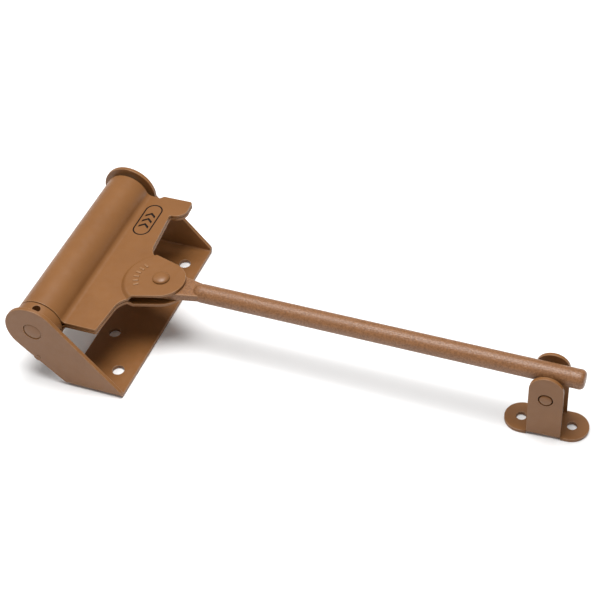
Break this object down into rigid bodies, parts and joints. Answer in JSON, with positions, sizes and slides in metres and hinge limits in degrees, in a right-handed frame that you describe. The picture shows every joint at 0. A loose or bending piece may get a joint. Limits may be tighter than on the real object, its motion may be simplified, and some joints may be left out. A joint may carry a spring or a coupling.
{
  "type": "door closer",
  "caption": "Spring door closer: a sprung barrel in a U-shaped wall bracket swings a pivoting arm rod that slides over the roller of a small bracket on the door.",
  "frame": {"origin": "centre of the mounting bracket's back face, on the wall or door frame", "axes": "+Z out of the mounting face, +Y along the spindle, +X along the arm rod towards the door bracket"},
  "size_m": [0.2763, 0.112, 0.0475],
  "materials": {
    "tan_paint": "satin tan lacquer, lightly dusted",
    "rod_paint": "tan lacquer over a rough rolled rod, orange-peel texture",
    "zinc_steel": "dull zinc plate",
    "spring_steel": "oiled spring wire",
    "nylon": "matte nylon"
  },
  "bodies": {
    "wall_side": {"mounting_bracket": "tan_paint", "spindle": "tan_paint", "stop_pin": "tan_paint", "far_thrust_washer": "zinc_steel"},
    "collar": {"tension_collar": "tan_paint"},
    "lock_pin": {"lock_pin": "zinc_steel"},
    "barrel": {"barrel_shell": "tan_paint", "end_plug": "zinc_steel", "torsion_spring": "spring_steel", "clevis_rivet": "tan_paint"},
    "arm": {"arm_rod": "rod_paint"},
    "roller_pin": {"roller_pin": "tan_paint"},
    "roller": {"roller": "nylon"},
    "door_side": {"door_bracket": "tan_paint"}
  },
  "joints": [
    {"name": "collar_turn", "type": "hinge", "parent": "wall_side", "child": "collar", "pos_m": [-0.02795, 0, 0.033], "axis": [0, 1, 0], "range_deg": [0, 330]},
    {"name": "lock_pin_pull", "type": "slide", "parent": "collar", "child": "lock_pin", "axis": [-0.1777, 0, -0.9841], "range_m": [0, 0.009]},
    {"name": "barrel_turn", "type": "hinge", "parent": "wall_side", "child": "barrel", "pos_m": [-0.02795, 0, 0.033], "axis": [0, -1, 0], "range_deg": [-20, 120], "stiffness_Nm_per_rad": 0.83},
    {"name": "arm_pivot", "type": "hinge", "parent": "barrel", "child": "arm", "pos_m": [0.01855, -0.0067, 0.03332], "axis": [-0.007, 0, 1], "range_deg": [-92, 92]},
    {"name": "bracket_slide", "type": "slide", "parent": "arm", "child": "roller_pin", "axis": [0.9999, -0.0079, 0.007], "range_m": [-0.1, 0.01]},
    {"name": "roller_spin", "type": "hinge", "parent": "roller_pin", "child": "roller", "pos_m": [0.21394, -0.00823, 0.02479], "axis": [-0.0471, 0.9989, 0], "continuous": true},
    {"name": "bracket_tilt", "type": "hinge", "parent": "roller_pin", "child": "door_side", "pos_m": [0.21394, -0.00823, 0.02479], "axis": [-0.0471, 0.9989, 0], "range_deg": [-45, 45]}
  ]
}
